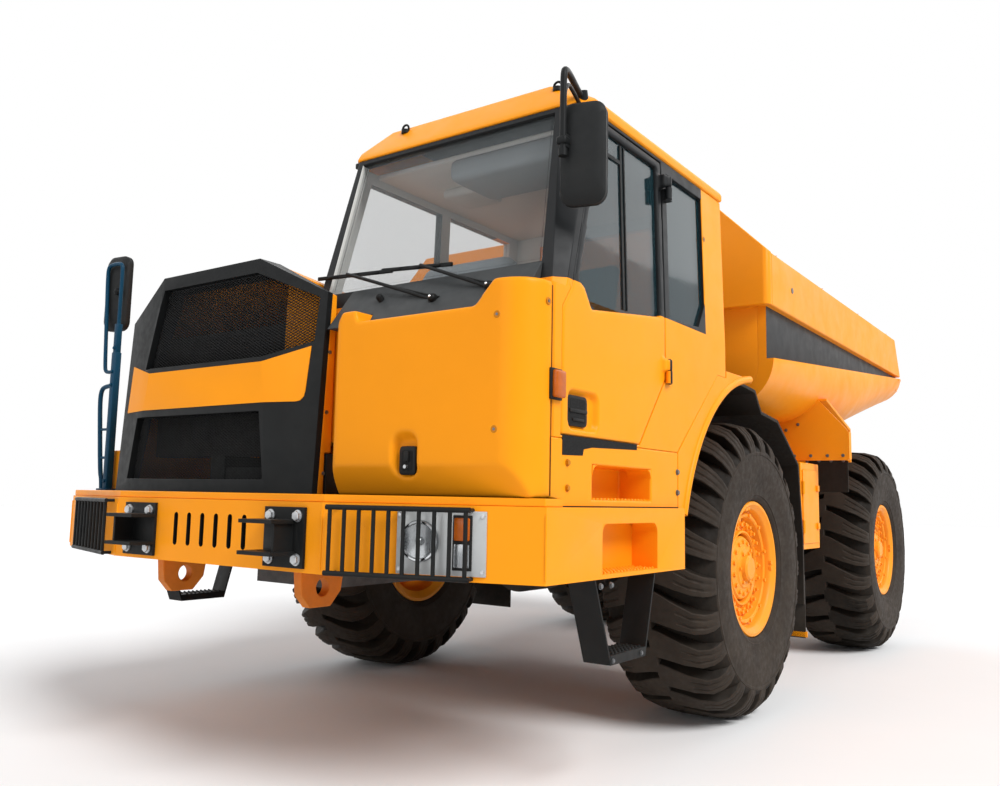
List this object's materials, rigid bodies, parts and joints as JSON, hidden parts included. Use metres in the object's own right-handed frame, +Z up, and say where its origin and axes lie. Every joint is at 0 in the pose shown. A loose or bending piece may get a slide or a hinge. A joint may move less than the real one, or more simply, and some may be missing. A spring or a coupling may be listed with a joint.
{
  "type": "rigid-frame dump truck",
  "caption": "Yellow rigid-frame dump truck with an offset cab, tall tyres, a folded steel tipping body and steerable front wheels.",
  "frame": {"origin": "on the ground, at the middle of the overall length and width", "axes": "+X is the vehicle's left, the front faces -Y, +Z is up"},
  "size_m": [3.54, 7.04, 3.2],
  "materials": {
    "frame_paint": "satin dark grey paint",
    "yellow_paint": "gloss yellow paint",
    "orange_paint": "semi-gloss orange paint",
    "black_paint": "satin black paint",
    "body_paint": "gloss yellow paint",
    "black_plastic": "moulded, matt",
    "tyre": "matt rubber",
    "rim_paint": "gloss yellow paint",
    "steel": "bare, worn",
    "chrome_rod": "polished",
    "glass": "tinted",
    "lamp": "clear lens over reflector",
    "interior": "grained grey",
    "seat_cloth": "woven",
    "mesh": "matt black perforated sheet",
    "engine": "oily"
  },
  "bodies": {
    "chassis": {"chassis_frame": "frame_paint", "front_axle": "frame_paint", "rear_axle": "frame_paint", "leaf_springs": "frame_paint", "engine_block": "engine", "drive_line": "engine", "front_bumper": "yellow_paint", "front_deck": "black_paint", "push_brackets": "black_paint", "lamp_guards": "black_paint", "headlamps": "lamp", "tow_hooks": "orange_paint", "hanging_steps": "black_paint", "side_skirts": "yellow_paint", "fenders": "yellow_paint", "front_mudguards": "black_plastic", "tool_boxes": "yellow_paint", "hood": "yellow_paint", "grille": "black_plastic", "grille_mesh": "mesh", "radiator": "black_paint", "cab_shell": "yellow_paint", "cab_glass": "glass", "cab_roof": "yellow_paint", "cab_fairing": "yellow_paint", "cab_cowl": "black_plastic", "dashboard": "interior", "seat_base": "interior", "driver_seat": "seat_cloth", "steering_wheel": "interior", "mirrors": "black_plastic", "mirror_posts": "black_paint"},
    "left_cab_door": {"cab_door": "yellow_paint", "door_glass": "glass"},
    "dump_body": {"body_floor": "body_paint", "body_front_wall": "body_paint", "body_sides": "body_paint", "body_rails": "body_paint", "body_bearers": "body_paint", "wheel_guards": "body_paint"},
    "hoist_barrel_pair": {"hoist_barrels": "black_paint"},
    "hoist_rod_pair": {"hoist_rods": "chrome_rod"},
    "knuckle_body_left": {"knuckle_left": "frame_paint"},
    "wheel_front_left": {"rim_front_left": "rim_paint", "tyre_front_left": "tyre"},
    "wheel_rear_left": {"rim_rear_left": "rim_paint", "tyre_rear_left": "tyre"},
    "knuckle_body_right": {"knuckle_right": "frame_paint"},
    "wheel_front_right": {"rim_front_right": "rim_paint", "tyre_front_right": "tyre"},
    "wheel_rear_right": {"rim_rear_right": "rim_paint", "tyre_rear_right": "tyre"}
  },
  "joints": [
    {"name": "steer_left", "type": "hinge", "parent": "chassis", "child": "knuckle_body_left", "pos_m": [0.98, -0.71, 0.865], "axis": [0, 0, 1], "range_deg": [-28, 28]},
    {"name": "wheel_front_left_spin", "type": "hinge", "parent": "knuckle_body_left", "child": "wheel_front_left", "pos_m": [1.28, -0.71, 0.865], "axis": [1, 0, 0], "continuous": true},
    {"name": "wheel_rear_left_spin", "type": "hinge", "parent": "chassis", "child": "wheel_rear_left", "pos_m": [1.28, 2.59, 0.865], "axis": [1, 0, 0], "continuous": true},
    {"name": "steer_right", "type": "hinge", "parent": "chassis", "child": "knuckle_body_right", "pos_m": [-0.98, -0.71, 0.865], "axis": [0, 0, 1], "range_deg": [-28, 28]},
    {"name": "wheel_front_right_spin", "type": "hinge", "parent": "knuckle_body_right", "child": "wheel_front_right", "pos_m": [-1.28, -0.71, 0.865], "axis": [1, 0, 0], "continuous": true},
    {"name": "wheel_rear_right_spin", "type": "hinge", "parent": "chassis", "child": "wheel_rear_right", "pos_m": [-1.28, 2.59, 0.865], "axis": [1, 0, 0], "continuous": true},
    {"name": "left_cab_door_hinge", "type": "hinge", "parent": "chassis", "child": "left_cab_door", "pos_m": [1.618, -1.99, 2.2], "axis": [0, 0, 1], "range_deg": [0, 80]},
    {"name": "dump_body_tip", "type": "hinge", "parent": "chassis", "child": "dump_body", "pos_m": [0, 3.04, 1.45], "axis": [-1, 0, 0], "range_deg": [0, 60]},
    {"name": "hoist_pivot", "type": "hinge", "parent": "chassis", "child": "hoist_barrel_pair", "pos_m": [0, 1.59, 0.75], "axis": [-1, 0, 0], "range_deg": [0, 8]},
    {"name": "hoist_extend", "type": "slide", "parent": "hoist_barrel_pair", "child": "hoist_rod_pair", "axis": [0, 0.5932, 0.8051], "range_m": [0, 0.85]}
  ],
  "couplings": [
    {"joint": "steer_right", "follows": "steer_left", "ratio": 1},
    {"joint": "hoist_pivot", "follows": "dump_body_tip", "ratio": 0.0485},
    {"joint": "hoist_extend", "follows": "dump_body_tip", "m_per_rad": 0.7489}
  ]
}
